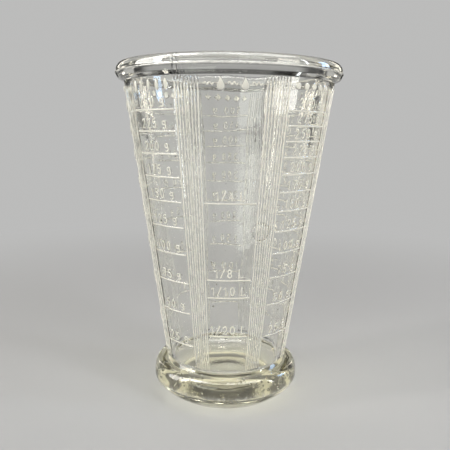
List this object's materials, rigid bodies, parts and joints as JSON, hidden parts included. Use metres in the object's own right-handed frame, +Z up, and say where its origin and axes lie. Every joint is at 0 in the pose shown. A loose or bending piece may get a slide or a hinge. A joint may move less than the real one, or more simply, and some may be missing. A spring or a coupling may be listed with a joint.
{
  "type": "measuring glass",
  "caption": "Tapered pressed-glass measuring tumbler on a heavy rounded foot, with a thick ridged rim, reeded bands and raised graduated scales.",
  "frame": {"origin": "centre of the foot, on the table plane", "axes": "+Z up along the axis of the bowl, -Y towards the liquid scale, +X to the right of someone who reads the liquid scale"},
  "size_m": [0.1034, 0.1034, 0.1567],
  "materials": {
    "clear_glass": "clear pressed glass with a faint straw-green tint, fire-polished"
  },
  "bodies": {
    "root": {"foot": "clear_glass", "bowl_floor": "clear_glass", "bowl_wall": "clear_glass", "rim": "clear_glass", "reeded_band_1": "clear_glass", "reeded_band_2": "clear_glass", "reeded_band_3": "clear_glass", "reeded_band_4": "clear_glass", "reeded_band_5": "clear_glass", "reeded_band_6": "clear_glass", "reeded_band_7": "clear_glass", "reeded_band_8": "clear_glass", "scale_liquid": "clear_glass", "scale_semolina": "clear_glass", "scale_sugar": "clear_glass", "scale_rice": "clear_glass", "scale_salt": "clear_glass", "scale_coffee": "clear_glass", "scale_cocoa": "clear_glass", "scale_flour": "clear_glass"}
  },
  "joints": []
}
